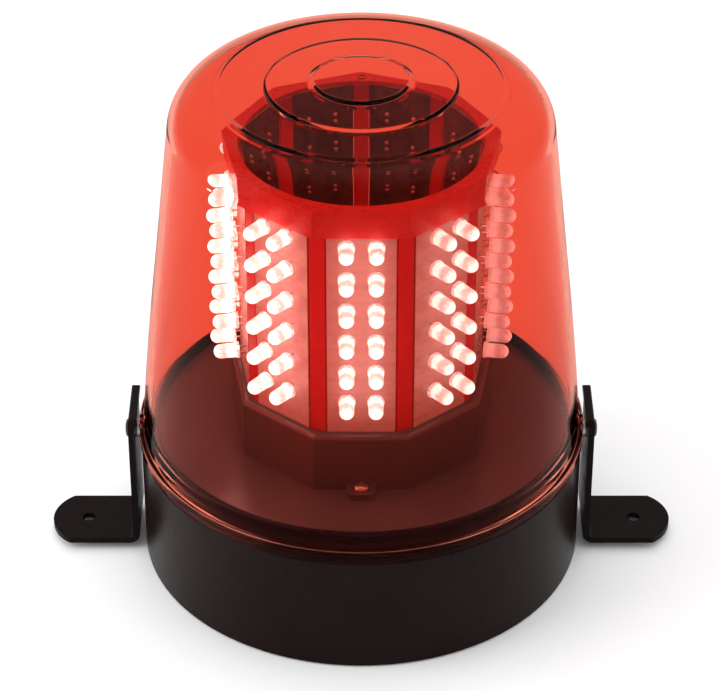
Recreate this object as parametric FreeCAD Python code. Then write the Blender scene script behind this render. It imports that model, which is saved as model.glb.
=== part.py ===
import FreeCAD, Part
import math
import os
from FreeCAD import Vector as V

# LED warning beacon on two screw-on side brackets.  Millimetres, +Z up.
# Origin: centre of the underside.  +X runs along the two fixing tabs, -Y is the front,
# the cable inlet is at the back (+Y).

# ---- driving dimensions -------------------------------------------------
base_r = 77.5            # outside radius of the base housing
base_wall = 2.8
base_top_z = 44.2        # ledge that carries the dome gasket
deck_z = 50.3            # top of the deck inside the dome
deck_t = 2.5
spigot_r = 73.4          # ring that centres the dome
spigot_wall = 2.2
spigot_top_z = 54.0
deck_hole_r = 8.0

cover_r = 74.3           # bottom cover
cover_t = 3.0
cover_screw_xy = 45.0
cover_boss_r = 4.2

gasket_t = 0.8
dome_foot_z = 45.1       # underside of the dome flange
flange_r = 78.0
flange_top_z = 49.5
dome_in_r = 73.75        # inside radius over the spigot
dome_t = 2.4
dome_top_z = 185.2
shoulder_r = 15.2
# outside of the dome wall, radius and height
wall_pts = [(76.5, flange_top_z), (76.2, 54.5), (74.3, 76.0), (71.8, 100.0), (69.0, 124.0), (66.3, 148.0)]
shoulder_top_z = 181.0
# crown, from the shoulder to the axis: three low steps
crown_pts = [(46.8, 182.1), (31.9, 182.3), (31.2, 183.5), (17.6, 183.7), (15.6, 184.9), (0.0, 184.9)]

n_face = 9               # faces of the LED tower
pitch_deg = 360.0 / n_face
board_ap = 40.7          # front face of the LED boards, distance from the axis
board_t = 1.6
board_w = 22.6
board_z0 = 72.4
board_z1 = 158.8
led_rows = [146.9 - 12.1 * i for i in range(6)]
led_col = 4.8            # column offset either side of a board's centre
led_standoff = 2.4
led_r = 2.5
led_flange_r = 2.9
led_len = 8.6
led_leg = 0.5
led_leg_pitch = 2.54

ring_ap = 43.6           # outside apothem of the top ring
ring_wall = 1.8
ring_z0 = 150.6
ring_z1 = 160.3
ring_top_t = 1.4
ring_open_r = 40.0       # round opening in the top ring
strip_r0 = 39.6          # strips between the boards, distance from the axis
strip_r1 = 42.2
strip_w = 5.2
ped_ap = 43.6            # outside apothem of the pedestal
ped_wall = 2.0
ped_top_z = board_z0
ped_top_t = 2.5
lug_out = 50.0           # pedestal fixing lugs
lug_w = 10.0
lug_t = 2.5
lug_screw_r = 46.2
core_board_r = 37.6      # round board that joins the nine LED boards
core_board_t = 1.6

strap_x0 = 79.1          # inner face of a bracket's strap
strap_t = 2.2
strap_w = 25.0
strap_top_z = 55.2
hem_x0 = 78.4            # inner edge of the turned-in top
tab_z0 = 2.4
tab_x1 = 110.9
tab_end_r = 15.0
tab_hole_x = 98.2
tab_hole_r = 2.3
bend_r = 1.5

side_screw_z = 44.2
side_screw_r = 2.0
side_screw_run = 0.08    # running clearance of the strap on its screw
side_head_r = 3.4
side_head_t = 1.7
spacer_r = 3.2
notch_w = 7.4            # slot in the dome foot over a spacer

inlet_z = 15.0           # cable inlet
inlet_r = 3.6
grommet_neck_r = 5.2
grommet_flange_r = 7.2

pcb_x, pcb_y, pcb_t = 88.0, 64.0, 1.6
pcb_z0 = 12.0
pcb_hole = (39.0, 27.0)

os.makedirs("parts", exist_ok=True)
Z = V(0, 0, 1)


def cyl(r, z0, z1, x=0.0, y=0.0):
    return Part.makeCylinder(r, z1 - z0, V(x, y, z0), Z)


def xcyl(r, x0, x1, y, z):
    return Part.makeCylinder(r, x1 - x0, V(x0, y, z), V(1, 0, 0))


def ycyl(r, y0, y1, x, z):
    return Part.makeCylinder(r, y1 - y0, V(x, y0, z), V(0, 1, 0))


def box(x0, x1, y0, y1, z0, z1):
    return Part.makeBox(x1 - x0, y1 - y0, z1 - z0, V(x0, y0, z0))


def revolve(pts):
    """Closed outline of (radius, z) turned about the Z axis."""
    p = [V(a, 0, b) for a, b in pts]
    return Part.Face(Part.makePolygon(p + [p[0]])).revolve(V(0, 0, 0), Z, 360)


def nonagon(ap, z0, z1):
    rad = ap / math.cos(math.radians(pitch_deg / 2))
    p = []
    for k in range(n_face):
        a = math.radians(-90 + pitch_deg * (k + 0.5))
        p.append(V(rad * math.cos(a), rad * math.sin(a), z0))
    return Part.Face(Part.makePolygon(p + [p[0]])).extrude(V(0, 0, z1 - z0))


def turned(shape, deg):
    s = shape.copy()
    s.rotate(V(0, 0, 0), Z, deg)
    return s


def moved(shape, x, y, z):
    s = shape.copy()
    s.translate(V(x, y, z))
    return s


def mirror_x(shape):
    return shape.mirror(V(0, 0, 0), V(1, 0, 0))


def save(name, *shapes):
    solids = []
    for s in shapes:
        s = s.removeSplitter() if s.ShapeType != "Compound" else s
        solids += s.Solids
    for s in solids:
        assert s.isValid(), name
        assert s.Volume > 0, name
    out = solids[0] if len(solids) == 1 else Part.makeCompound(solids)
    out.exportStep("parts/%s.step" % name)
    print("%-20s solids %3d  volume %10.1f" % (name, len(solids), sum(s.Volume for s in solids)))


def pan_head_screw(r, length, head_r, head_t):
    """Screw along -Z with its head's underside at z = 0, with a cross recess."""
    shank = cyl(r, -length, 0.0)
    head = revolve([(0, 0), (head_r, 0), (head_r, head_t * 0.45), (head_r * 0.82, head_t * 0.85),
                    (head_r * 0.5, head_t), (0, head_t)])
    s = head.fuse(shank)
    w, l, d = head_r * 0.22, head_r * 0.62, head_t * 0.6
    s = s.cut(box(-l, l, -w / 2, w / 2, head_t - d, head_t + 1))
    s = s.cut(box(-w / 2, w / 2, -l, l, head_t - d, head_t + 1))
    return s


def csk_screw(r, length, head_r, head_t):
    """Countersunk screw along +Z with the flat of its head at z = 0."""
    s = revolve([(0, 0), (head_r, 0), (head_r, 0.3), (r, head_t), (r, length), (0, length)])
    w, l, d = head_r * 0.24, head_r * 0.6, head_t * 0.6
    s = s.cut(box(-l, l, -w / 2, w / 2, -1, d))
    return s.cut(box(-w / 2, w / 2, -l, l, -1, d))


# ---- base housing -------------------------------------------------------
wall_in_r = base_r - base_wall
lug_angles = (-90.0, 30.0, 150.0)
housing = revolve([
    (deck_hole_r, deck_z), (spigot_r - spigot_wall, deck_z), (spigot_r - spigot_wall, spigot_top_z - 0.5),
    (spigot_r - spigot_wall + 0.5, spigot_top_z), (spigot_r - 0.5, spigot_top_z), (spigot_r, spigot_top_z - 0.5),
    (spigot_r, base_top_z), (base_r - 0.5, base_top_z), (base_r, base_top_z - 0.5), (base_r, 0.6),
    (base_r - 0.6, 0.0), (wall_in_r, 0.0), (wall_in_r, base_top_z - 2.5), (spigot_r - spigot_wall, base_top_z - 2.5),
    (spigot_r - spigot_wall, deck_z - deck_t), (deck_hole_r, deck_z - deck_t)])
# posts for the bottom cover, tied to the deck
for sx in (-1, 1):
    for sy in (-1, 1):
        housing = housing.fuse(cyl(cover_boss_r, cover_t + 0.1, deck_z - deck_t + 0.5, sx * cover_screw_xy, sy * cover_screw_xy))
# bosses under the deck for the pedestal screws
for a in lug_angles:
    c, s = math.cos(math.radians(a)), math.sin(math.radians(a))
    housing = housing.fuse(cyl(3.6, 37.0, deck_z - deck_t + 0.5, lug_screw_r * c, lug_screw_r * s))
# blocks that take the two side screws
for sx in (-1, 1):
    x0, x1 = sorted((sx * 60.0, sx * (spigot_r - spigot_wall + 1.0)))
    housing = housing.fuse(box(x0, x1, -6.0, 6.0, side_screw_z - 5.5, deck_z - 1.0))
for sx in (-1, 1):
    for sy in (-1, 1):
        housing = housing.cut(cyl(1.55, 0.0, 22.0, sx * cover_screw_xy, sy * cover_screw_xy))
for a in lug_angles:
    c, s = math.cos(math.radians(a)), math.sin(math.radians(a))
    housing = housing.cut(cyl(1.55, 38.0, deck_z + 1, lug_screw_r * c, lug_screw_r * s))
for sx in (-1, 1):
    x0, x1 = sorted((sx * 63.5, sx * 80.0))
    housing = housing.cut(xcyl(side_screw_r + 0.05, x0, x1, 0, side_screw_z))
for sx in (-1, 1):
    x0, x1 = sorted((sx * spigot_r, sx * 80.0))
    housing = housing.cut(xcyl(spacer_r + 0.12, x0, x1, 0, side_screw_z))
housing = housing.cut(ycyl(grommet_neck_r + 0.05, wall_in_r - 4, base_r + 2, 0, inlet_z))
save("base_housing", housing)

# ---- bottom cover and its screws ---------------------------------------
cover = revolve([(0, 0), (cover_r - 0.5, 0), (cover_r, 0.5), (cover_r, cover_t), (0, cover_t)])
ribs = box(-60, 60, -1.0, 1.0, cover_t - 0.1, cover_t + 2.0).fuse(box(-1.0, 1.0, -60, 60, cover_t - 0.1, cover_t + 2.0))
cover = cover.fuse(ribs)
for sx in (-1, 1):
    for sy in (-1, 1):
        x, y = sx * cover_screw_xy, sy * cover_screw_xy
        sink = revolve([(0, -1), (3.1, -1), (3.1, 0.55), (1.65, 2.3), (1.65, cover_t + 3), (0, cover_t + 3)])
        cover = cover.cut(moved(sink, x, y, 0))
save("bottom_cover", cover)
save("bottom_cover_screws", *[moved(csk_screw(1.5, 17.0, 3.0, 1.9), sx * cover_screw_xy, sy * cover_screw_xy, 0.2)
                              for sx in (-1, 1) for sy in (-1, 1)])

# ---- cable inlet grommet -------------------------------------------------
outer = ycyl(grommet_flange_r, 70.0, 77.95, 0, inlet_z).cut(cyl(base_r + 0.02, 0, 40))
inner = ycyl(grommet_flange_r, 71.0, 76.0, 0, inlet_z).common(cyl(wall_in_r - 0.02, 0, 40)).cut(cyl(wall_in_r - 2.0, 0, 40))
neck = ycyl(grommet_neck_r, 71.6, 77.6, 0, inlet_z)
neck = neck.cut(cyl(wall_in_r - 2.0, 0, 40))
grommet = neck.fuse(outer).fuse(inner).cut(ycyl(inlet_r, 60, 90, 0, inlet_z))
save("cable_grommet", grommet)

# ---- power board and what stands on it -----------------------------------
pcb = box(-pcb_x / 2, pcb_x / 2, -pcb_y / 2, pcb_y / 2, pcb_z0, pcb_z0 + pcb_t)
for sx in (-1, 1):
    for sy in (-1, 1):
        pcb = pcb.cut(cyl(1.6, pcb_z0 - 1, pcb_z0 + pcb_t + 1, sx * pcb_hole[0], sy * pcb_hole[1]))
save("power_board", pcb)
zp = pcb_z0 + pcb_t
stand, scr = [], []
for sx in (-1, 1):
    for sy in (-1, 1):
        x, y = sx * pcb_hole[0], sy * pcb_hole[1]
        stand.append(cyl(3.0, cover_t, pcb_z0, x, y).cut(cyl(1.3, cover_t + 1.5, pcb_z0 + 1, x, y)))
        scr.append(moved(pan_head_screw(1.25, 7.0, 2.7, 1.8), x, y, zp))
save("board_standoffs", *stand)
save("board_screws", *scr)

tx, ty = -25.0, 0.0      # mains transformer: laminated core with two windows, winding on its middle limb
core = box(tx - 20, tx + 20, ty - 7, ty + 7, zp, zp + 23.0)
for s in (-1, 1):
    core = core.cut(box(tx + s * 10 - 3.8, tx + s * 10 + 3.8, ty - 8, ty + 8, zp + 6.5, zp + 16.5))
save("transformer_core", core)
coil = box(tx - 13.6, tx + 13.6, ty - 13, ty + 13, zp + 6.7, zp + 16.3)
coil = coil.makeFillet(2.5, [e for e in coil.Edges if abs(e.Vertexes[0].Z - e.Vertexes[1].Z) > 1])
coil = coil.cut(box(tx - 6.4, tx + 6.4, ty - 7.2, ty + 7.2, zp + 5, zp + 18))
save("transformer_coil", coil)
caps = []
for x, y, r, h in ((17.0, 17.0, 6.3, 20.0), (31.5, 17.0, 6.3, 20.0), (27.0, 1.0, 4.0, 12.0)):
    can = revolve([(0, 0), (r, 0), (r, 1.2), (r - 0.4, 1.6), (r, 2.0), (r, h - 0.8), (r - 0.8, h), (0, h)])
    caps.append(moved(can, x, y, zp))
save("capacitors", *caps)
term = box(-9, 9, 22.5, 31.0, zp, zp + 10)
for x in (-4.5, 4.5):
    term = term.cut(cyl(1.9, zp + 4, zp + 11, x, 27.0)).cut(ycyl(1.6, 26.0, 32.0, x, zp + 3.2))
save("mains_terminal", term)
fuse = ycyl(2.6, 14.0, 30.0, -28.0, zp + 5.0)
clips = box(-31.0, -25.0, 15.0, 18.0, zp, zp + 4.0).fuse(box(-31.0, -25.0, 26.0, 29.0, zp, zp + 4.0))
save("fuse", fuse.fuse(clips))
chip = box(8, 28, -22, -15.6, zp + 0.8, zp + 4.2)
for i in range(8):
    for s in (-1, 1):
        x = 9.1 + i * 2.54
        y = -18.8 + s * 3.6
        chip = chip.fuse(box(x - 0.3, x + 0.3, y - 0.45, y + 0.45, zp, zp + 2.4))
save("controller_chip", chip)
trs = []
for i in range(3):
    y = -23.0 + 11.5 * i
    body = box(34.0, 38.5, y, y + 10.0, zp + 3.0, zp + 18.0)
    for j in (-2.54, 0.0, 2.54):
        body = body.fuse(box(36.0, 36.6, y + 5.0 + j - 0.4, y + 5.0 + j + 0.4, zp, zp + 3.1))
    trs.append(body)
save("power_transistors", *trs)
save("led_connector", box(-4.0, 4.0, -4.5, 4.5, zp, zp + 7.0).fuse(box(-1.5, 1.5, -5.2, 5.2, zp, zp + 4.0)))
save("led_harness", cyl(2.4, zp + 7.0, ped_top_z))

# ---- LED tower -------------------------------------------------------------
ped = nonagon(ped_ap, deck_z, ped_top_z)
edges = [e for e in ped.Edges if abs(e.Vertexes[0].Z - ped_top_z) < 1e-6 and abs(e.Vertexes[1].Z - ped_top_z) < 1e-6]
ped = ped.makeFillet(1.8, edges)
ped = ped.cut(nonagon(ped_ap - ped_wall, deck_z - 1, ped_top_z - ped_top_t))
ped = ped.cut(cyl(6.0, deck_z, ped_top_z + 1))
for a in lug_angles:
    lug = box(ped_ap - 1.0, lug_out, -lug_w / 2, lug_w / 2, deck_z, deck_z + lug_t)
    vert = [e for e in lug.Edges if abs(e.Vertexes[0].X - lug_out) < 1e-6 and abs(e.Vertexes[1].X - lug_out) < 1e-6
            and abs(e.Vertexes[0].Y - e.Vertexes[1].Y) < 1e-6]
    lug = lug.makeFillet(3.0, vert)
    lug = lug.cut(cyl(1.6, 0, 90, lug_screw_r, 0))
    ped = ped.fuse(turned(lug, a))
    ped = ped.cut(turned(cyl(1.6, deck_z - 1, deck_z + lug_t + 0.5, lug_screw_r, 0), a))
save("tower_pedestal", ped)
save("pedestal_screws", *[turned(moved(pan_head_screw(1.5, 11.0, 2.5, 1.8), lug_screw_r, 0, deck_z + lug_t), a)
                          for a in lug_angles])
core_board = cyl(core_board_r, ped_top_z, ped_top_z + core_board_t)
save("tower_base_board", core_board)
plug = box(35.2, board_ap - board_t, -6.0, 6.0, ped_top_z + core_board_t, ped_top_z + core_board_t + 3.0)
save("board_headers", *[turned(plug, -90 + pitch_deg * k) for k in range(n_face)])

board = box(board_ap - board_t, board_ap, -board_w / 2, board_w / 2, board_z0, board_z1)
led_body = Part.Face(Part.Wire([
    Part.LineSegment(V(led_standoff, 0, 0), V(led_standoff, led_flange_r, 0)).toShape(),
    Part.LineSegment(V(led_standoff, led_flange_r, 0), V(led_standoff + 1.0, led_flange_r, 0)).toShape(),
    Part.LineSegment(V(led_standoff + 1.0, led_flange_r, 0), V(led_standoff + 1.0, led_r, 0)).toShape(),
    Part.LineSegment(V(led_standoff + 1.0, led_r, 0), V(led_standoff + led_len - led_r, led_r, 0)).toShape(),
    Part.Arc(V(led_standoff + led_len - led_r, led_r, 0),
             V(led_standoff + led_len - led_r + led_r * math.sqrt(0.5), led_r * math.sqrt(0.5), 0),
             V(led_standoff + led_len, 0, 0)).toShape(),
    Part.LineSegment(V(led_standoff + led_len, 0, 0), V(led_standoff, 0, 0)).toShape(),
])).revolve(V(0, 0, 0), V(1, 0, 0), 360)
led = led_body
for s in (-1, 1):
    led = led.fuse(box(0.0, led_standoff + 0.4, -led_leg / 2, led_leg / 2,
                       s * led_leg_pitch / 2 - led_leg / 2, s * led_leg_pitch / 2 + led_leg / 2))
led = led.removeSplitter()
for k in range(n_face):
    a = -90 + pitch_deg * k
    save("led_board_%d" % (k + 1), turned(board, a))
    group = []
    for z in led_rows:
        for c in (-led_col, led_col):
            group.append(turned(moved(led, board_ap, c, z), a))
    save("leds_%d" % (k + 1), *group)

top_ring = nonagon(ring_ap, ring_z0, ring_z1).cut(nonagon(ring_ap - ring_wall, ring_z0 - 1, ring_z1 - ring_top_t))
top_ring = top_ring.cut(cyl(ring_open_r, ring_z1 - ring_top_t - 1, ring_z1 + 1))
save("tower_top_ring", top_ring)
# red strips that close the gaps between neighbouring boards, from the pedestal to the ring
strip = box(strip_r0, strip_r1, -strip_w / 2, strip_w / 2, ped_top_z, ring_z1 - ring_top_t)
save("tower_strips", *[turned(strip, -90 + pitch_deg * (k + 0.5)) for k in range(n_face)])

# ---- gasket and dome ---------------------------------------------------------
gasket = revolve([(spigot_r + 0.4, base_top_z), (base_r - 0.6, base_top_z),
                  (base_r - 0.6, base_top_z + gasket_t), (spigot_r + 0.4, base_top_z + gasket_t)])
gasket = gasket.cut(xcyl(spacer_r + 0.3, -80, 80, 0, side_screw_z))
save("dome_gasket", gasket)


def crown(off):
    """Outline of the dome from the last wall point up to the axis, offset inwards by off."""
    (r0, z0), (r1, z1) = wall_pts[-2], wall_pts[-1]
    slope = (r1 - r0) / (z1 - z0)
    taper = math.atan(-slope)
    zc = shoulder_top_z - shoulder_r
    rc = r1 + slope * (zc - z1) - shoulder_r / math.cos(taper)
    rad = shoulder_r - off
    a0, a1 = taper, math.pi / 2
    mid = (a0 + a1) / 2
    at = lambda a: (rc + rad * math.cos(a), zc + rad * math.sin(a))
    return at(a0), at(mid), at(a1), rc


def dome_edges(off):
    """Edges of the outline from the foot to the axis."""
    start, mid, end, rc = crown(off)
    pts = []
    for i, (r, z) in enumerate(wall_pts):
        pts.append((r - off, z))
    line = pts + [start]
    out = []
    for a, b in zip(line, line[1:]):
        out.append(Part.LineSegment(V(a[0], 0, a[1]), V(b[0], 0, b[1])).toShape())
    out.append(Part.Arc(V(start[0], 0, start[1]), V(mid[0], 0, mid[1]), V(end[0], 0, end[1])).toShape())
    chain = [end] + [(r, z - off) for r, z in crown_pts]
    for a, b in zip(chain, chain[1:]):
        out.append(Part.LineSegment(V(a[0], 0, a[1]), V(b[0], 0, b[1])).toShape())
    return out, pts[0]


def solid_of(edges, first, extra):
    """Closed solid of revolution: axis, foot points, outline."""
    chain = extra + [first]
    es = [Part.LineSegment(V(a[0], 0, a[1]), V(b[0], 0, b[1])).toShape() for a, b in zip(chain, chain[1:])]
    last = edges[-1].Vertexes
    top = min(last, key=lambda v: abs(v.X)).Point
    es += edges
    es.append(Part.LineSegment(top, V(extra[0][0], 0, extra[0][1])).toShape())
    return Part.Face(Part.Wire(Part.__sortEdges__(es))).revolve(V(0, 0, 0), Z, 360)


out_edges, out_first = dome_edges(0.0)
outer = solid_of(out_edges, out_first, [(0, dome_foot_z), (flange_r - 0.4, dome_foot_z), (flange_r, dome_foot_z + 0.4),
                                        (flange_r, flange_top_z - 0.4), (flange_r - 0.4, flange_top_z)])
in_edges, in_first = dome_edges(dome_t)
inner = solid_of(in_edges[1:], (wall_pts[1][0] - dome_t, wall_pts[1][1]),
                 [(0, dome_foot_z - 1), (dome_in_r, dome_foot_z - 1), (dome_in_r, wall_pts[1][1] - 0.5)])
dome = outer.cut(inner)
dome = dome.fuse(cyl(1.3, crown_pts[-1][1] - 0.5, dome_top_z))   # moulding gate
for sx in (-1, 1):
    x0, x1 = sorted((sx * 70.0, sx * 82.0))
    dome = dome.cut(box(x0, x1, -notch_w / 2, notch_w / 2, dome_foot_z - 2, side_screw_z))
    dome = dome.cut(xcyl(notch_w / 2, x0, x1, 0, side_screw_z))
save("dome", dome)

# ---- side brackets, their screws and spacers -----------------------------------
x1 = strap_x0 + strap_t
tz = tab_z0 + strap_t
ro = bend_r + strap_t


def seg(a, b):
    return Part.LineSegment(V(a[0], 0, a[1]), V(b[0], 0, b[1])).toShape()


def arc(a, centre, r, ang, b):
    m = (centre[0] + r * math.cos(math.radians(ang)), centre[1] + r * math.sin(math.radians(ang)))
    return Part.Arc(V(a[0], 0, a[1]), V(m[0], 0, m[1]), V(b[0], 0, b[1])).toShape()


hz = strap_top_z - strap_t
profile = [
    seg((hem_x0, hz), (hem_x0, strap_top_z)),
    seg((hem_x0, strap_top_z), (x1 - 0.9, strap_top_z)),
    arc((x1 - 0.9, strap_top_z), (x1 - 0.9, strap_top_z - 0.9), 0.9, 45, (x1, strap_top_z - 0.9)),
    seg((x1, strap_top_z - 0.9), (x1, tz + bend_r)),
    arc((x1, tz + bend_r), (x1 + bend_r, tz + bend_r), bend_r, 225, (x1 + bend_r, tz)),
    seg((x1 + bend_r, tz), (tab_x1, tz)),
    seg((tab_x1, tz), (tab_x1, tab_z0)),
    seg((tab_x1, tab_z0), (x1 + bend_r, tab_z0)),
    arc((x1 + bend_r, tab_z0), (x1 + bend_r, tz + bend_r), ro, 225, (strap_x0, tz + bend_r)),
    seg((strap_x0, tz + bend_r), (strap_x0, hz)),
    seg((strap_x0, hz), (hem_x0, hz)),
]
bracket = Part.Face(Part.Wire(profile)).extrude(V(0, strap_w, 0))
bracket.translate(V(0, -strap_w / 2, 0))
end_c = tab_x1 - tab_end_r
keep = box(0, end_c, -40, 40, -5, 80).fuse(cyl(tab_end_r, -5, 80, end_c, 0))
bracket = bracket.common(keep)
bracket = bracket.cut(cyl(tab_hole_r, -5, 20, tab_hole_x, 0))
bracket = bracket.cut(xcyl(side_screw_r + side_screw_run, 70, 90, 0, side_screw_z))
# clipped upper corners
for s in (-1, 1):
    w = Part.Face(Part.makePolygon([V(70, s * (strap_w / 2 + 1), strap_top_z + 1), V(70, s * (strap_w / 2 + 1), strap_top_z - 3),
                                    V(70, s * (strap_w / 2 - 3), strap_top_z + 1), V(70, s * (strap_w / 2 + 1), strap_top_z + 1)]))
    bracket = bracket.cut(w.extrude(V(20, 0, 0)))
save("bracket_right", bracket)
save("bracket_left", mirror_x(bracket))

screw = pan_head_screw(side_screw_r, x1 + 0.15 - 64.5, side_head_r, side_head_t)
screw.rotate(V(0, 0, 0), V(0, 1, 0), 90)
screw.translate(V(x1 + 0.15, 0, side_screw_z))
spacer = xcyl(spacer_r, spigot_r + 0.2, strap_x0 - 0.15, 0, side_screw_z).cut(
    xcyl(side_screw_r + 0.05, 60, 90, 0, side_screw_z))
save("side_screw_right", screw)
save("side_screw_left", mirror_x(screw))
save("side_spacer_right", spacer)
save("side_spacer_left", mirror_x(spacer))
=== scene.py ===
import math

import bpy
import numpy as np
from mathutils import Matrix, Vector


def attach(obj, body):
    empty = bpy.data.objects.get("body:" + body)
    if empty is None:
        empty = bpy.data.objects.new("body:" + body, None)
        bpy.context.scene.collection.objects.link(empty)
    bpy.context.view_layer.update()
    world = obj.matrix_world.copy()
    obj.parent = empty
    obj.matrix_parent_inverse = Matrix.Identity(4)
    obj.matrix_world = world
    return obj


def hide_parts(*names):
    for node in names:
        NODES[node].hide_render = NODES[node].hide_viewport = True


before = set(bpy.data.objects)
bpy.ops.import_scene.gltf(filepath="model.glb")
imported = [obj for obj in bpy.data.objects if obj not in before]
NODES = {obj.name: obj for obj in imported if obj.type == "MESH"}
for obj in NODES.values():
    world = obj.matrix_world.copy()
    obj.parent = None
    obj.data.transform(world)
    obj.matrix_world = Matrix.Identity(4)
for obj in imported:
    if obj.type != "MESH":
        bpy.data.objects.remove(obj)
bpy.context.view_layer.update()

MM = 0.001
N_FACE = 9
PITCH = 360.0 / N_FACE
TAU = 2 * math.pi


# ---------------------------------------------------------------- mesh tools
def link(obj):
    bpy.context.scene.collection.objects.link(obj)
    return obj


def make(name, verts, faces, materials, face_mat=None, sharp_deg=32.0, smooth=True):
    """A mesh object from vertices in millimetres."""
    me = bpy.data.meshes.new(name)
    me.from_pydata([tuple(MM * c for c in v) for v in verts], [], faces)
    for m in materials:
        me.materials.append(m)
    if face_mat is not None:
        me.polygons.foreach_set("material_index", np.array(face_mat, np.int32))
    me.validate()
    me.update()
    if smooth:
        me.polygons.foreach_set("use_smooth", [True] * len(me.polygons))
        me.set_sharp_from_angle(angle=math.radians(sharp_deg))
    return link(bpy.data.objects.new(name, me))


def rounded(points, steps=5):
    """Corner points (r, z, fillet radius) to a polyline with arcs; the first and last keep their corner."""
    out = []
    n = len(points)
    for i, p in enumerate(points):
        r, z, f = p
        if f <= 0 or i in (0, n - 1):
            out.append((r, z))
            continue
        a = np.array(points[i - 1][:2], float)
        b = np.array((r, z), float)
        c = np.array(points[i + 1][:2], float)
        u, v = a - b, c - b
        lu, lv = np.linalg.norm(u), np.linalg.norm(v)
        u, v = u / lu, v / lv
        half = math.acos(max(-1.0, min(1.0, float(u @ v)))) / 2
        if half > math.pi / 2 - 0.01:
            out.append((r, z))
            continue
        d = min(f / math.tan(half), 0.48 * lu, 0.48 * lv)
        rad = d * math.tan(half)
        centre = b + (u + v) / np.linalg.norm(u + v) * (rad / math.sin(half))
        s, e = b + u * d - centre, b + v * d - centre
        a0, a1 = math.atan2(s[1], s[0]), math.atan2(e[1], e[0])
        da = (a1 - a0 + math.pi) % TAU - math.pi
        for k in range(steps + 1):
            t = a0 + da * k / steps
            out.append((float(centre[0] + rad * math.cos(t)), float(centre[1] + rad * math.sin(t))))
    return out


def spline(pts, n):
    """Points on a Catmull-Rom curve through pts, n per span."""
    p = [np.array(q, float) for q in pts]
    p = [2 * p[0] - p[1]] + p + [2 * p[-1] - p[-2]]
    out = []
    for i in range(1, len(p) - 2):
        for k in range(n):
            t = k / n
            q = 0.5 * ((2 * p[i]) + (p[i + 1] - p[i - 1]) * t + (2 * p[i - 1] - 5 * p[i] + 4 * p[i + 1] - p[i + 2]) * t * t
                       + (3 * p[i] - p[i - 1] - 3 * p[i + 1] + p[i + 2]) * t ** 3)
            out.append(tuple(q))
    out.append(tuple(p[-2]))
    return out


def lathe(profile, segs, closed=True):
    """Vertices and faces of an outline (r, z) turned about Z. A point with r = 0 is a pole. closed joins the last point to the first."""
    verts, rows = [], []
    for r, z in profile:
        if r < 1e-6:
            rows.append([len(verts)])
            verts.append((0.0, 0.0, z))
        else:
            rows.append(list(range(len(verts), len(verts) + segs)))
            for k in range(segs):
                a = TAU * k / segs
                verts.append((r * math.cos(a), r * math.sin(a), z))
    faces = []
    pairs = list(zip(rows, rows[1:])) + ([(rows[-1], rows[0])] if closed else [])
    for a, b in pairs:
        if len(a) == 1 and len(b) == 1:
            continue
        for k in range(segs):
            k2 = (k + 1) % segs
            if len(a) == 1:
                faces.append((a[0], b[k2], b[k]))
            elif len(b) == 1:
                faces.append((a[k], a[k2], b[0]))
            else:
                faces.append((a[k], a[k2], b[k2], b[k]))
    return verts, faces


def outward(obj):
    """Makes the normals point out of a closed mesh."""
    import bmesh
    bm = bmesh.new()
    bm.from_mesh(obj.data)
    bmesh.ops.recalc_face_normals(bm, faces=bm.faces)
    bm.to_mesh(obj.data)
    bm.free()


def apply_modifiers(obj):
    dg = bpy.context.evaluated_depsgraph_get()
    me = bpy.data.meshes.new_from_object(obj.evaluated_get(dg), depsgraph=dg)
    obj.modifiers.clear()
    obj.data = me
    return obj


def face_angle(k):
    return -90.0 + PITCH * k


def turn(v, deg):
    c, s = math.cos(math.radians(deg)), math.sin(math.radians(deg))
    return (v[0] * c - v[1] * s, v[0] * s + v[1] * c, v[2])


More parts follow.
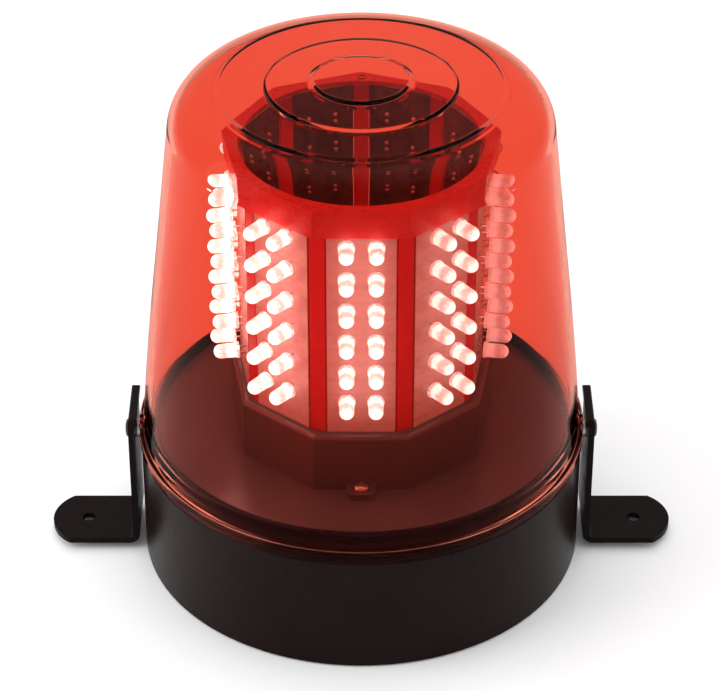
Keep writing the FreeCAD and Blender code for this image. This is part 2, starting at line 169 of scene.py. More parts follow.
# ------------------------------------------------------------ material tools
class Mat:
    def __init__(self, name):
        self.m = bpy.data.materials.new(name)
        self.m.use_nodes = True
        self.nt = self.m.node_tree
        self.nt.nodes.clear()
        self.out = self.nt.nodes.new("ShaderNodeOutputMaterial")
        self.p = self.nt.nodes.new("ShaderNodeBsdfPrincipled")
        self.nt.links.new(self.p.outputs[0], self.out.inputs["Surface"])
        self.tc = self.nt.nodes.new("ShaderNodeTexCoord")

    def set(self, **kw):
        for k, v in kw.items():
            self.p.inputs[k.replace("_", " ")].default_value = v
        return self

    def node(self, kind, **props):
        n = self.nt.nodes.new(kind)
        for k, v in props.items():
            setattr(n, k, v)
        return n

    def put(self, src, dst):
        self.nt.links.new(src, dst)

    def wire(self, src, name):
        self.nt.links.new(src, self.p.inputs[name])

    @property
    def obj(self):
        return self.tc.outputs["Object"]

    def mapped(self, scale=(1, 1, 1), rot=(0, 0, 0), loc=(0, 0, 0), src=None):
        n = self.node("ShaderNodeMapping")
        n.inputs["Scale"].default_value = scale
        n.inputs["Rotation"].default_value = rot
        n.inputs["Location"].default_value = loc
        self.put(src or self.obj, n.inputs["Vector"])
        return n.outputs[0]

    def noise(self, scale, detail=3.0, rough=0.5, vec=None, distort=0.0):
        n = self.node("ShaderNodeTexNoise")
        n.inputs["Scale"].default_value = scale
        n.inputs["Detail"].default_value = detail
        n.inputs["Roughness"].default_value = rough
        n.inputs["Distortion"].default_value = distort
        self.put(vec or self.obj, n.inputs["Vector"])
        return n.outputs["Fac"]

    def voronoi(self, scale, vec=None, feature="F1", out="Distance"):
        n = self.node("ShaderNodeTexVoronoi", feature=feature)
        n.inputs["Scale"].default_value = scale
        self.put(vec or self.obj, n.inputs["Vector"])
        return n.outputs[out]

    def wave(self, scale, vec=None, direction="X", distort=0.0, detail=0.0, profile="SIN"):
        n = self.node("ShaderNodeTexWave", bands_direction=direction, wave_profile=profile)
        n.inputs["Scale"].default_value = scale
        n.inputs["Distortion"].default_value = distort
        n.inputs["Detail"].default_value = detail
        self.put(vec or self.obj, n.inputs["Vector"])
        return n.outputs["Fac"]

    def ramp(self, fac, stops, interpolation="LINEAR"):
        n = self.node("ShaderNodeValToRGB")
        n.color_ramp.interpolation = interpolation
        e = n.color_ramp.elements
        while len(e) < len(stops):
            e.new(0.5)
        for i, (pos, col) in enumerate(stops):
            e[i].position = pos
            e[i].color = (*col, 1.0) if len(col) == 3 else col
        self.put(fac, n.inputs[0])
        return n.outputs[0]

    def rng(self, fac, a, b, c, d, clamp=True, smooth=False):
        n = self.node("ShaderNodeMapRange", clamp=clamp)
        if smooth:
            n.interpolation_type = "SMOOTHSTEP"
        for i, v in enumerate((a, b, c, d)):
            n.inputs[i + 1].default_value = v
        self.put(fac, n.inputs[0])
        return n.outputs[0]

    def mix(self, fac, a, b):
        n = self.node("ShaderNodeMix", data_type="RGBA")
        if isinstance(fac, (int, float)):
            n.inputs[0].default_value = fac
        else:
            self.put(fac, n.inputs[0])
        for i, v in ((6, a), (7, b)):
            if isinstance(v, tuple):
                n.inputs[i].default_value = (*v, 1.0) if len(v) == 3 else v
            else:
                self.put(v, n.inputs[i])
        return n.outputs[2]

    def math(self, op, a, b=0.0, c=None, clamp=False):
        n = self.node("ShaderNodeMath", operation=op, use_clamp=clamp)
        for i, v in enumerate((a, b) if c is None else (a, b, c)):
            if isinstance(v, (int, float)):
                n.inputs[i].default_value = v
            else:
                self.put(v, n.inputs[i])
        return n.outputs[0]

    def xyz(self, src=None):
        n = self.node("ShaderNodeSeparateXYZ")
        self.put(src or self.obj, n.inputs[0])
        return n.outputs

    def bump(self, height, strength=0.2, distance=0.0002, normal=None, to="Normal"):
        n = self.node("ShaderNodeBump")
        n.inputs["Strength"].default_value = strength
        n.inputs["Distance"].default_value = distance
        self.put(height, n.inputs["Height"])
        if normal is not None:
            self.put(normal, n.inputs["Normal"])
        if to:
            self.wire(n.outputs[0], to)
        return n.outputs[0]


def plastic(name, dark, light, r0, r1, peel=500.0, peel_strength=0.05, scuff=0.35, spec=0.5):
    """Moulded plastic: mottled colour, uneven gloss, fine orange peel and faint scuffs."""
    m = Mat(name)
    m.set(IOR=1.5, Specular_IOR_Level=spec)
    broad = m.noise(28, 4, 0.6)
    fine = m.noise(420, 3, 0.6)
    col = m.mix(m.rng(broad, 0.3, 0.7, 0.0, 1.0), dark, light)
    scratch = m.noise(90, 6, 0.75, vec=m.mapped((1, 1, 9), (0.2, 0.1, 0.4)))
    s = m.rng(scratch, 0.60, 0.72, 0.0, 1.0)
    col = m.mix(m.math("MULTIPLY", s, scuff * 0.2), col, tuple(min(1.0, 3.0 * c + 0.012) for c in light))
    m.wire(col, "Base Color")
    rough = m.rng(m.math("ADD", m.math("MULTIPLY", broad, 0.6), m.math("MULTIPLY", fine, 0.4)), 0.35, 0.65, r0, r1)
    m.wire(m.math("MULTIPLY_ADD", s, scuff * 0.12, rough), "Roughness")
    m.bump(m.noise(peel, 2, 0.5), peel_strength, 0.0002)
    return m


# --------------------------------------------------------------- materials
def housing_material():
    """Warm black moulding; the deck under the dome is glossier, and its paler grey is painted glow standing in for the
    LED light it picks up.
    """
    m = Mat("housing_black")
    m.set(IOR=1.5)
    x, y, z = m.xyz()[:3]
    r2 = m.math("ADD", m.math("MULTIPLY", x, x), m.math("MULTIPLY", y, y))
    deck = m.math("MULTIPLY", m.math("LESS_THAN", r2, 0.0711 ** 2), m.math("GREATER_THAN", z, 0.0498))
    broad = m.noise(28, 4, 0.6)
    fine = m.noise(420, 3, 0.6)
    t = m.rng(broad, 0.3, 0.7, 0.0, 1.0)
    shell = m.mix(t, (0.0072, 0.0026, 0.0023), (0.0104, 0.0044, 0.0040))
    # painted glow: the deck's grey is far paler than the shell's black, standing in for the LED light falling on the
    # deck
    inside = m.mix(t, (0.112, 0.103, 0.100), (0.142, 0.131, 0.127))
    m.wire(m.mix(deck, shell, inside), "Base Color")
    m.wire(m.rng(deck, 0.0, 1.0, 0.06, 0.5), "Specular IOR Level")
    grain = m.math("ADD", m.math("MULTIPLY", broad, 0.6), m.math("MULTIPLY", fine, 0.4))
    m.wire(m.math("SUBTRACT", m.rng(grain, 0.35, 0.65, 0.24, 0.36), m.math("MULTIPLY", deck, 0.08)), "Roughness")
    m.bump(m.noise(240, 2, 0.5), 0.03, 0.0002)
    return m.m


housing_black = housing_material()
cover_black = plastic("cover_black", (0.016, 0.016, 0.016), (0.026, 0.026, 0.027), 0.5, 0.64, 1100, 0.22).m
tower_black = plastic("tower_black", (0.096, 0.088, 0.085), (0.122, 0.112, 0.108), 0.10, 0.18, 380, 0.05, 0.1, spec=0.5).m
frame_red = plastic("frame_red", (0.66, 0.085, 0.105), (0.74, 0.105, 0.13), 0.22, 0.34, 520, 0.06, 0.1, spec=0.4).m



def strip_material():
    """Milky red strips that close the gaps between the boards and let scattered light through."""
    m = Mat("strip_red")
    m.set(Specular_IOR_Level=0.3)
    color = m.mix(m.rng(m.noise(60, 4, 0.6), 0.3, 0.7, 0, 1), (0.90, 0.075, 0.085), (0.96, 0.100, 0.110))
    m.wire(color, "Base Color")
    m.wire(m.rng(m.noise(300, 3), 0.3, 0.7, 0.26, 0.32), "Roughness")
    normal = m.bump(m.noise(160, 2, 0.5), 0.03, 0.0002)
    glow = m.node("ShaderNodeBsdfTranslucent")
    m.put(m.mix(m.rng(m.noise(60, 4, 0.6), 0.3, 0.7, 0, 1), (0.98, 0.30, 0.32), (1.0, 0.34, 0.36)), glow.inputs["Color"])
    m.put(normal, glow.inputs["Normal"])
    mix = m.node("ShaderNodeMixShader")
    mix.inputs[0].default_value = 0.5
    m.put(m.p.outputs[0], mix.inputs[1])
    m.put(glow.outputs[0], mix.inputs[2])
    m.put(mix.outputs[0], m.out.inputs["Surface"])
    return m.m


strip_red = strip_material()
screw_black = plastic("screw_black", (0.010, 0.008, 0.0075), (0.018, 0.015, 0.014), 0.30, 0.42, 900, 0.08, 0.3, spec=0.2).m


def dome_material():
    """Clear red acrylic: tinted through its thickness, refracting, with a soft share of surface reflection."""
    m = Mat("dome_red")
    m.set(IOR=1.47, Transmission_Weight=1.0, Specular_IOR_Level=0.3, Specular_Tint=(0.35, 0.30, 0.30, 1.0))
    flow = m.noise(9, 3, 0.55, vec=m.mapped((1, 1, 0.35)))
    t = m.rng(flow, 0.35, 0.65, 0.0, 1.0)
    m.wire(m.mix(t, (0.828, 0.232, 0.160), (0.845, 0.252, 0.176)), "Base Color")
    scratch = m.noise(160, 5, 0.8, vec=m.mapped((1, 1, 7), (0.1, 0.3, 0.2)))
    rough = m.rng(scratch, 0.62, 0.8, 0.006, 0.03)
    m.wire(rough, "Roughness")
    normal = m.bump(m.noise(34, 2, 0.5, vec=m.mapped((1, 1, 0.5))), 0.05, 0.0006)
    r = m.node("ShaderNodeBsdfRefraction")
    r.inputs["IOR"].default_value = 1.47
    m.put(m.mix(t, (0.910, 0.482, 0.400), (0.919, 0.502, 0.420)), r.inputs["Color"])
    m.put(rough, r.inputs["Roughness"])
    m.put(normal, r.inputs["Normal"])
    mix = m.node("ShaderNodeMixShader")
    # light leaving the wall past the critical angle is reflected in full, as in real acrylic
    facing = m.node("ShaderNodeLayerWeight")
    facing.inputs["Blend"].default_value = 0.5
    geo = m.node("ShaderNodeNewGeometry")
    inside = m.rng(facing.outputs["Facing"], 0.20, 0.28, 0.0, 1.0)
    m.put(m.math("MULTIPLY_ADD", m.math("MULTIPLY", inside, geo.outputs["Backfacing"]), 0.8, 0.2), mix.inputs[0])
    m.put(r.outputs[0], mix.inputs[1])
    m.put(m.p.outputs[0], mix.inputs[2])
    m.put(mix.outputs[0], m.out.inputs["Surface"])
    return m.m


dome_red = dome_material()


def paint_material():
    m = Mat("bracket_black")
    m.set(IOR=1.5, Specular_IOR_Level=0.035, Coat_Weight=0.0)
    broad = m.noise(40, 4, 0.6)
    peel = m.noise(1300, 2, 0.5)
    col = m.mix(m.rng(broad, 0.3, 0.7, 0, 1), (0.0066, 0.0034, 0.0031), (0.0098, 0.0060, 0.0056))
    chips = m.rng(m.noise(520, 5, 0.7), 0.71, 0.74, 0.0, 1.0)
    col = m.mix(chips, col, (0.045, 0.040, 0.038))
    m.wire(col, "Base Color")
    m.wire(m.rng(m.noise(160, 4, 0.6), 0.3, 0.7, 0.26, 0.4), "Roughness")
    m.bump(peel, 0.18, 0.00015)
    return m.m


bracket_black = paint_material()


def metal(name, base, r0, r1, scale=900, stretch=(1, 1, 14), tint=0.14):
    m = Mat(name)
    m.set(Metallic=1.0, IOR=1.5)
    brushed = m.noise(scale, 3, 0.6, vec=m.mapped(stretch))
    stain = m.noise(120, 4, 0.6)
    d = tuple(c * (1 - tint) for c in base)
    m.wire(m.mix(m.rng(stain, 0.3, 0.7, 0, 1), d, base), "Base Color")
    m.wire(m.rng(brushed, 0.3, 0.7, r0, r1), "Roughness")
    m.bump(brushed, 0.12, 0.00005)
    return m.m


screw_steel = metal("screw_steel", (0.72, 0.72, 0.74), 0.22, 0.4)
tinned = metal("tinned_leg", (0.78, 0.77, 0.75), 0.18, 0.32, 1500)
standoff_brass = metal("standoff_brass", (0.80, 0.60, 0.27), 0.2, 0.36, 900, (1, 1, 20))


def core_material():
    m = Mat("core_steel")
    m.set(Metallic=1.0)
    lam = m.wave(1000.0, direction="Y", profile="SAW")
    m.wire(m.mix(m.rng(lam, 0.0, 0.25, 1, 0), (0.34, 0.33, 0.33), (0.10, 0.095, 0.09)), "Base Color")
    m.wire(m.rng(m.noise(300, 4), 0.3, 0.7, 0.35, 0.6), "Roughness")
    m.bump(lam, 0.5, 0.0002)
    return m.m


core_steel = core_material()


def rubber_material():
    m = Mat("seal_rubber")
    m.set(IOR=1.5, Specular_IOR_Level=0.35)
    n = m.noise(260, 5, 0.65)
    m.wire(m.mix(m.rng(n, 0.3, 0.7, 0, 1), (0.010, 0.010, 0.010), (0.022, 0.021, 0.021)), "Base Color")
    m.wire(m.rng(n, 0.3, 0.7, 0.55, 0.75), "Roughness")
    m.bump(m.noise(900, 3), 0.25, 0.0002)
    return m.m


seal_rubber = rubber_material()


def led_pcb_material():
    """White solder mask towards the outside, dark solder mask towards the axis, glass-fibre edges."""
    m = Mat("led_pcb")
    m.set(IOR=1.5)
    x, y, z = m.xyz()[:3]
    flat = m.node("ShaderNodeCombineXYZ")
    m.put(x, flat.inputs[0])
    m.put(y, flat.inputs[1])
    radial = m.node("ShaderNodeVectorMath", operation="NORMALIZE")
    m.put(flat.outputs[0], radial.inputs[0])
    dot = m.node("ShaderNodeVectorMath", operation="DOT_PRODUCT")
    m.put(radial.outputs[0], dot.inputs[0])
    m.put(m.tc.outputs["Normal"], dot.inputs[1])
    d = dot.outputs["Value"]
    front = m.math("GREATER_THAN", d, 0.8)
    back = m.math("LESS_THAN", d, -0.8)
    mottle = m.noise(70, 4, 0.6)
    white = m.mix(m.rng(mottle, 0.3, 0.7, 0, 1), (0.57, 0.56, 0.55), (0.65, 0.64, 0.63))
    traces = m.rng(m.wave(52.0, direction="Z", distort=0.0), 0.86, 0.9, 0.0, 1.0)
    white = m.mix(m.math("MULTIPLY", traces, 0.35), white, (0.49, 0.48, 0.47))
    dark = m.mix(m.rng(mottle, 0.3, 0.7, 0, 1), (0.150, 0.116, 0.114), (0.200, 0.155, 0.152))
    trace2 = m.rng(m.noise(150, 1, 0.3, vec=m.mapped((1, 1, 0.25))), 0.50, 0.515, 0.0, 1.0)
    dark = m.mix(m.math("MULTIPLY", trace2, 0.55), dark, (0.26, 0.21, 0.20))
    edge = m.mix(m.wave(900.0, direction="Z", distort=2.0), (0.40, 0.34, 0.17), (0.55, 0.48, 0.27))
    col = m.mix(front, m.mix(back, edge, dark), white)
    m.wire(col, "Base Color")
    m.wire(m.rng(m.noise(240, 3), 0.3, 0.7, 0.22, 0.38), "Roughness")
    m.bump(m.math("ADD", traces, m.math("MULTIPLY", trace2, 0.6)), 0.3, 0.00006)
    return m.m


led_pcb = led_pcb_material()


def power_pcb_material():
    m = Mat("power_pcb")
    m.set(IOR=1.5)
    cells = m.voronoi(120, vec=m.mapped((1, 1, 0.01)), feature="DISTANCE_TO_EDGE")
    lines = m.rng(cells, 0.05, 0.08, 1.0, 0.0)
    n = m.noise(50, 3)
    base = m.mix(m.rng(n, 0.3, 0.7, 0, 1), (0.012, 0.095, 0.035), (0.018, 0.14, 0.05))
    m.wire(m.mix(m.math("MULTIPLY", lines, 0.7), base, (0.06, 0.26, 0.10)), "Base Color")
    m.wire(m.rng(n, 0.3, 0.7, 0.2, 0.36), "Roughness")
    m.bump(lines, 0.4, 0.00008)
    return m.m


power_pcb = power_pcb_material()


def banded(name, a, b, direction, scale, rough, strength=0.35, metallic=0.0, distort=0.0):
    m = Mat(name)
    m.set(Metallic=metallic)
    w = m.wave(scale, direction=direction, distort=distort, detail=2.0)
    n = m.noise(200, 4)
    m.wire(m.mix(m.math("MULTIPLY_ADD", n, 0.35, m.math("MULTIPLY", w, 0.65)), a, b), "Base Color")
    m.wire(m.rng(n, 0.3, 0.7, rough[0], rough[1]), "Roughness")
    m.bump(w, strength, 0.0001)
    return m.m


winding_tape = banded("winding_tape", (0.55, 0.36, 0.03), (0.80, 0.58, 0.10), "Z", 520, (0.3, 0.45), 0.25)
terminal_green = banded("terminal_green", (0.02, 0.20, 0.07), (0.04, 0.30, 0.12), "X", 110, (0.35, 0.5), 0.1)
chip_black = banded("chip_black", (0.014, 0.014, 0.015), (0.03, 0.03, 0.032), "Z", 30, (0.45, 0.62), 0.05)
connector_white = banded("connector_white", (0.72, 0.70, 0.64), (0.82, 0.80, 0.75), "Z", 380, (0.32, 0.46), 0.1)


def sleeve_material():
    m = Mat("wire_sleeve")
    a = m.wave(700, vec=m.mapped((1, 1, 1), (0, 0.78, 0)), direction="X")
    b = m.wave(700, vec=m.mapped((1, 1, 1), (0, -0.78, 0)), direction="X")
    w = m.math("MULTIPLY", a, b)
    m.wire(m.mix(w, (0.010, 0.010, 0.010), (0.05, 0.05, 0.05)), "Base Color")
    m.wire(m.rng(m.noise(300, 3), 0.3, 0.7, 0.5, 0.7), "Roughness")
    m.bump(w, 0.5, 0.0002)
    return m.m


wire_sleeve = sleeve_material()


def capacitor_material():
    """Dark shrink sleeve with a pale polarity band; the top is bare aluminium."""
    m = Mat("capacitor_sleeve")
    z = m.xyz()[2]
    top = m.math("GREATER_THAN", z, 0.0333)
    n = m.noise(180, 4)
    band = m.rng(m.wave(25, direction="X"), 0.93, 0.95, 0, 1)
    sleeve = m.mix(band, m.mix(m.rng(n, 0.3, 0.7, 0, 1), (0.010, 0.012, 0.045), (0.018, 0.022, 0.07)), (0.42, 0.42, 0.44))
    m.wire(m.mix(top, sleeve, (0.65, 0.65, 0.66)), "Base Color")
    m.wire(top, "Metallic")
    m.wire(m.rng(n, 0.3, 0.7, 0.24, 0.4), "Roughness")
    m.bump(n, 0.08, 0.0001)
    return m.m


capacitor_sleeve = capacitor_material()


def fuse_material():
    """Nickel end caps and clips with a clear tube between."""
    m = Mat("fuse_glass")
    y = m.xyz()[1]
    mid = m.math("MULTIPLY", m.math("GREATER_THAN", y, 0.0185), m.math("LESS_THAN", y, 0.0255))
    n = m.noise(300, 3)
    m.wire(m.mix(mid, m.mix(n, (0.60, 0.59, 0.56), (0.74, 0.73, 0.70)), (0.80, 0.84, 0.84)), "Base Color")
    m.wire(m.math("SUBTRACT", 1.0, mid), "Metallic")
    m.wire(m.math("MULTIPLY", mid, 0.85), "Transmission Weight")
    m.wire(m.rng(n, 0.3, 0.7, 0.08, 0.26), "Roughness")
    m.bump(n, 0.05, 0.0001)
    return m.m


fuse_glass = fuse_material()


def led_lit_material(name, tip, side, rim):
    """A lit 5 mm lens: 'glow' on each vertex says where it sits from the flange to the tip."""
    m = Mat(name)
    m.set(IOR=1.5, Specular_IOR_Level=0.5)
    at = m.node("ShaderNodeAttribute", attribute_name="glow")
    g = at.outputs["Fac"]
    n = m.noise(900, 3, 0.6)
    wob = m.rng(n, 0.25, 0.75, -0.10, 0.10)
    t = m.math("ADD", g, wob, clamp=True)
    m.wire(m.ramp(t, [(0.0, (0.55, 0.58, 0.74)), (0.30, (0.60, 0.76, 0.92)), (0.50, (0.56, 0.60, 0.76)), (1.0, (0.62, 0.82, 0.98))]), "Emission Color")
    m.wire(m.ramp(n, [(0.3, (0.80, 0.74, 0.72)), (0.7, (0.92, 0.90, 0.88))]), "Base Color")
    cur = m.node("ShaderNodeFloatCurve")
    c = cur.mapping.curves[0]
    c.points[0].location = (0.0, rim / tip)
    c.points[1].location = (1.0, 1.0)
    c.points.new(0.28, side / tip * 1.2)
    c.points.new(0.48, side / tip * 0.5)
    c.points.new(0.66, side / tip * 1.1)
    cur.mapping.update()
    m.put(t, cur.inputs["Value"])
    m.wire(m.math("MULTIPLY", cur.outputs[0], tip), "Emission Strength")
    m.wire(m.rng(n, 0.3, 0.7, 0.10, 0.2), "Roughness")
    return m.m


led_lit = led_lit_material("led_lit", 9.4, 5.6, 1.6)
led_bright = led_lit_material("led_bright", 11.5, 7.2, 2.2)
led_soft = led_lit_material("led_soft", 6.8, 3.9, 1.2)
led_dim = led_lit_material("led_dim", 1.5, 0.8, 0.7)


def led_clear_material():
    m = Mat("led_clear")
    m.set(IOR=1.5, Transmission_Weight=0.9, Specular_IOR_Level=0.5)
    n = m.noise(700, 3)
    m.wire(m.ramp(n, [(0.3, (0.86, 0.84, 0.82)), (0.7, (0.97, 0.96, 0.95))]), "Base Color")
    m.wire(m.rng(n, 0.3, 0.7, 0.03, 0.12), "Roughness")
    m.bump(n, 0.04, 0.0001)
    return m.m


led_clear = led_clear_material()

CAD_FINISH = {
    "base_housing": housing_black, "bottom_cover": cover_black, "tower_pedestal": tower_black, "tower_top_ring": frame_red, "tower_strips": strip_red,
    "bottom_cover_screws": screw_steel, "board_screws": screw_steel, "pedestal_screws": screw_steel,
    "side_screw_left": screw_black, "side_screw_right": screw_black, "side_spacer_left": screw_steel, "side_spacer_right": screw_steel,
    "cable_grommet": seal_rubber, "dome_gasket": seal_rubber, "power_board": power_pcb, "board_standoffs": standoff_brass,
    "transformer_core": core_steel, "transformer_coil": winding_tape, "capacitors": capacitor_sleeve, "mains_terminal": terminal_green,
    "fuse": fuse_glass, "controller_chip": chip_black, "power_transistors": chip_black, "led_connector": connector_white,
    "board_headers": connector_white, "led_harness": wire_sleeve, "tower_base_board": led_pcb, "dome": dome_red,
    "bracket_left": bracket_black, "bracket_right": bracket_black,
}
for k in range(1, N_FACE + 1):
    CAD_FINISH["led_board_%d" % k] = led_pcb
    CAD_FINISH["leds_%d" % k] = led_clear
for n, o in NODES.items():
    for s in o.material_slots:
        s.link = "OBJECT"
        s.material = CAD_FINISH[n]


# ------------------------------------------------------------------- dome
FLANGE_R, FOOT_Z, FLANGE_TOP = 78.0, 45.1, 49.5
IN_R, DOME_T = 73.75, 2.4
WALL = [(76.5, 49.5), (76.2, 54.5), (74.3, 76.0), (71.8, 100.0), (69.0, 124.0), (66.3, 148.0)]
SH_R, SH_TOP = 15.2, 181.0
CROWN = [(46.8, 182.1), (31.9, 182.3), (31.2, 183.5), (17.6, 183.7), (15.6, 184.9), (0.0, 184.9)]


def shoulder(off, n=22):
    (r0, z0), (r1, z1) = WALL[-2], WALL[-1]
    slope = (r1 - r0) / (z1 - z0)
    taper = math.atan(-slope)
    zc = SH_TOP - SH_R
    rc = r1 + slope * (zc - z1) - SH_R / math.cos(taper)
    rad = SH_R - off
    return [(rc + rad * math.cos(taper + (math.pi / 2 - taper) * i / n), zc + rad * math.sin(taper + (math.pi / 2 - taper) * i / n)) for i in range(n + 1)]


def build_dome():
    # outside, from the foot up
    out = rounded([(FLANGE_R - 0.3, FOOT_Z, 0), (FLANGE_R, FOOT_Z, 0.35), (FLANGE_R, FLANGE_TOP, 0.55), (77.25, FLANGE_TOP, 0.15),
                   (77.1, FLANGE_TOP - 0.55, 0.1), (76.75, FLANGE_TOP - 0.55, 0.1), (76.5, FLANGE_TOP + 0.15, 0.15), (76.45, FLANGE_TOP + 1.2, 0)], 4)
    wall = spline(WALL[1:] + [shoulder(0.0)[0]], 5)
    out += wall[:-1]
    out += shoulder(0.0)[:-1]
    end = shoulder(0.0)[-1]
    top = [(end[0] - 0.01, end[1], 0)] + [(r, z, 0.35) for r, z in CROWN[:-1]] + [(0.0, CROWN[-1][1], 0)]
    top[0] = (end[0], end[1], 0)
    out += rounded(top, 4)
    # inside, from the axis down
    inn = [(0.0, CROWN[-1][1] - DOME_T, 0)] + [(r, z - DOME_T, 0.35) for r, z in reversed(CROWN[:-1])]
    sh = shoulder(DOME_T)
    inner = rounded(inn + [(sh[-1][0], sh[-1][1], 0)], 4)
    inner += list(reversed(sh))[1:]
    inwall = [(r - DOME_T, z) for r, z in spline(WALL[1:] + [shoulder(0.0)[0]], 5)]
    inner += list(reversed(inwall))[1:]
    inner += [(IN_R, WALL[1][1] - 0.5), (IN_R, FOOT_Z + 0.15), (IN_R + 0.15, FOOT_Z)]
    verts, faces = lathe(out + inner, 288, closed=True)
    o = make("dome_shell", verts, faces, [dome_red], sharp_deg=24)
    outward(o)
    # half-round notches in the foot over the two spacers
    cutters = []
    for sx in (-1, 1):
        n = 41
        pts = [(-3.7, 40.0), (3.7, 40.0)] + [(3.7 * math.cos(math.pi * i / n), 44.2 + 3.7 * math.sin(math.pi * i / n)) for i in range(n + 1)]
        x0, x1 = sorted((sx * 71.0, sx * 80.0))
        v = [(x0, y, z) for y, z in pts] + [(x1, y, z) for y, z in pts]
        m = len(pts)
        f = [tuple(range(m))[::-1], tuple(range(m, 2 * m))] + [(i, (i + 1) % m, m + (i + 1) % m, m + i) for i in range(m)]
        c = make("cut_%d" % (sx + 1), v, f, [dome_red], smooth=False)
        outward(c)
        cutters.append(c)
    for c in cutters:
        b = o.modifiers.new("notch", "BOOLEAN")
        b.operation, b.solver, b.object = "DIFFERENCE", "EXACT", c
    apply_modifiers(o)
    for c in cutters:
        bpy.data.objects.remove(c)
    o.data.polygons.foreach_set("use_smooth", [True] * len(o.data.polygons))
    o.data.set_sharp_from_angle(angle=math.radians(24))
    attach(o, "dome")
    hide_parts("dome")
    # the moulding gate in the middle of the crown
    v, f = lathe(rounded([(0.0, 184.7, 0), (1.3, 184.7, 0), (1.3, 185.15, 0.2), (0.0, 185.18, 0)], 4), 32, closed=False)
    g = make("dome_gate", v, f, [dome_red])
    outward(g)
    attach(g, "dome")
    return o


build_dome()


# -------------------------------------------------------------------- LEDs
BOARD_AP, BOARD_T = 40.7, 1.6
ROWS = [146.9 - 12.1 * i for i in range(6)]
COL = 4.8
STAND = 2.4
LENS = {1: led_lit, 2: led_soft, 3: led_dim, 7: led_soft, 8: led_bright, 9: led_bright}


def led_parts(segs=22):
    """One LED along +X from the board face, as (vertices, faces, material index, glow)."""
    prof = rounded([(0.0, STAND, 0), (2.85, STAND, 0.12), (2.85, STAND + 1.0, 0.18), (2.48, STAND + 1.05, 0.12), (2.48, STAND + 6.1, 0)], 3)
    n = 9
    for i in range(1, n + 1):
        a = math.pi / 2 * i / n
        prof.append((2.48 * math.cos(a) if i < n else 0.0, STAND + 6.1 + 2.45 * math.sin(a)))
    v, f = lathe(prof, segs, closed=False)
    verts, glow = [], []
    for x, y, z in v:      # the lathe's axis becomes +X
        r = math.hypot(x, y)
        if z < STAND + 1.06:
            y = max(y, -2.5)      # the flat on the flange
        t = (z - STAND) / 8.6
        g = 0.0 if z < STAND + 1.1 else 0.15 + 0.4 * max(0.0, (t - 0.15) / 0.55)
        if z > STAND + 6.0:
            g = 0.55 + 0.45 * (1 - (r / 2.48) ** 2)
        verts.append((z, x, y))
        glow.append(min(1.0, g))
    faces = [tuple(q) for q in f]
    mat = [0] * len(faces)
    for s in (-1, 1):
        b = len(verts)
        zc = s * 1.27
        for x in (0.0, STAND + 0.3):
            for y, z in ((-0.25, -0.25), (0.25, -0.25), (0.25, 0.25), (-0.25, 0.25)):
                verts.append((x, y, zc + z))
                glow.append(0.0)
        faces += [(b, b + 1, b + 5, b + 4), (b + 1, b + 2, b + 6, b + 5), (b + 2, b + 3, b + 7, b + 6), (b + 3, b, b + 4, b + 7),
                  (b + 3, b + 2, b + 1, b), (b + 4, b + 5, b + 6, b + 7)]
        mat += [1] * 6
    return verts, faces, mat, glow


def build_leds():
    pv, pf, pm, pg = led_parts()
    for k in range(N_FACE):
        verts, faces, mats, glow = [], [], [], []
        for zr in ROWS:
            for c in (-COL, COL):
                b = len(verts)
                verts += [turn((BOARD_AP + x, c + y, zr + z), face_angle(k)) for x, y, z in pv]
                faces += [tuple(i + b for i in q) for q in pf]
                mats += pm
                glow += pg
        lens = LENS.get(k + 1, led_clear)
        o = make("led_group_%d" % (k + 1), verts, faces, [lens, tinned], mats, sharp_deg=40)
        a = o.data.attributes.new("glow", "FLOAT", "POINT")
        a.data.foreach_set("value", np.array(glow, np.float32))
        outward(o)
        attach(o, "base")
        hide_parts("leds_%d" % (k + 1))


build_leds()


def build_solder():
    """Solder joints of the LED legs on the inner face of each board."""
    prof = [(0.0, -0.05), (1.0, -0.05), (0.95, 0.12), (0.75, 0.35), (0.5, 0.62), (0.32, 0.9), (0.0, 0.98)]
    v, f = lathe(prof, 12, closed=False)
    for k in range(N_FACE):
        verts, faces = [], []
        for zr in ROWS:
            for c in (-COL, COL):
                for s in (-1, 1):
                    b = len(verts)
                    verts += [turn((BOARD_AP - BOARD_T - z, c + x, zr + s * 1.27 + y), face_angle(k)) for x, y, z in v]
                    faces += [tuple(i + b for i in q) for q in f]
        o = make("board_solder_%d" % (k + 1), verts, faces, [tinned], sharp_deg=60)
        outward(o)
        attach(o, "base")


build_solder()


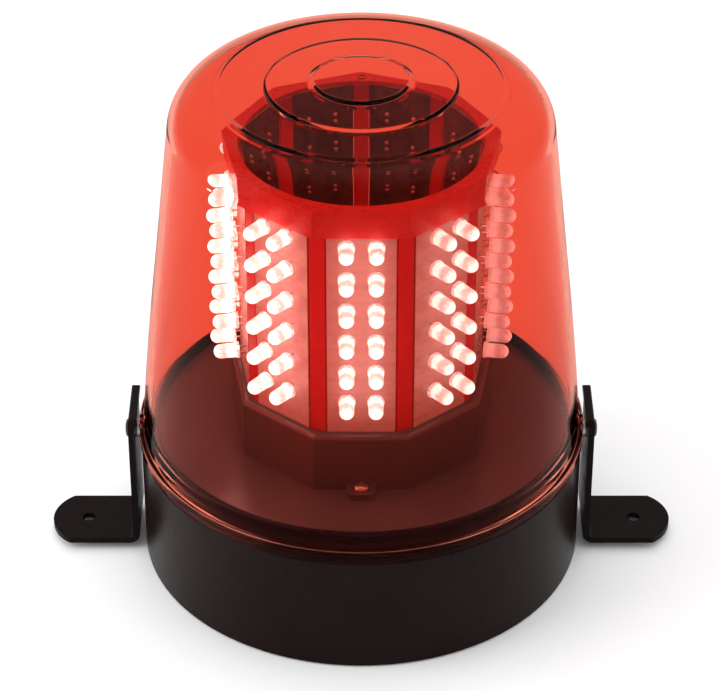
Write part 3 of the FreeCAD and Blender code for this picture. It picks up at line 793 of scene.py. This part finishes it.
# ------------------------------------------------------------- stage, light
def floor():
    m = Mat("floor_pale")
    m.set(IOR=1.45, Specular_IOR_Level=0.2)
    n = m.noise(3, 3, 0.5)
    m.wire(m.ramp(n, [(0.3, (0.93, 0.93, 0.93)), (0.7, (0.95, 0.95, 0.95))]), "Base Color")
    m.wire(m.rng(n, 0.3, 0.7, 0.7, 0.8), "Roughness")
    s = 4000.0
    o = make("floor", [(-s, -s, -0.1), (s, -s, -0.1), (s, s, -0.1), (-s, s, -0.1)], [(0, 1, 2, 3)], [m.m], smooth=False)


floor()

world = bpy.data.worlds.new("studio")
bpy.context.scene.world = world
world.use_nodes = True
bg = world.node_tree.nodes["Background"]
bg.inputs[0].default_value = (1.0, 1.0, 1.0, 1.0)
bg.inputs[1].default_value = 0.8


def area(name, loc, size, power, target=(0, 0, 0.08), color=(1, 1, 1)):
    d = bpy.data.lights.new(name, "AREA")
    d.shape = "RECTANGLE"
    d.size, d.size_y = size
    d.energy = power
    d.color = color
    o = link(bpy.data.objects.new(name, d))
    o.location = loc
    o.rotation_mode = "QUATERNION"
    o.rotation_quaternion = (Vector(target) - Vector(loc)).to_track_quat("-Z", "Y")
    return o


area("soft_top", (0.0, 0.5, 1.7), (2.2, 1.6), 14.0)
area("soft_left", (-1.3, -0.3, 0.7), (1.0, 1.2), 12.0)
area("soft_right", (1.3, -0.3, 0.7), (1.0, 1.2), 3.0)

# camera at the photograph's viewing angle
cam = bpy.data.cameras.new("camera")
cam.sensor_width = 36.0
cam.lens = 144.372
cam_o = link(bpy.data.objects.new("camera", cam))
target = Vector((-0.00045, 0.0, 0.07923))
elev = math.radians(34.21)
cam_o.location = target + Vector((0.0, -math.cos(elev), math.sin(elev)))
cam_o.rotation_mode = "QUATERNION"
cam_o.rotation_quaternion = (target - cam_o.location).to_track_quat("-Z", "Y")
cam.clip_start, cam.clip_end = 0.01, 100.0
bpy.context.scene.camera = cam_o

sc = bpy.context.scene
sc.view_settings.view_transform = "Standard"
sc.view_settings.look = "None"
sc.cycles.max_bounces = 16
sc.cycles.transmission_bounces = 16
sc.cycles.transparent_max_bounces = 16
sc.cycles.glossy_bounces = 6
sc.cycles.diffuse_bounces = 4
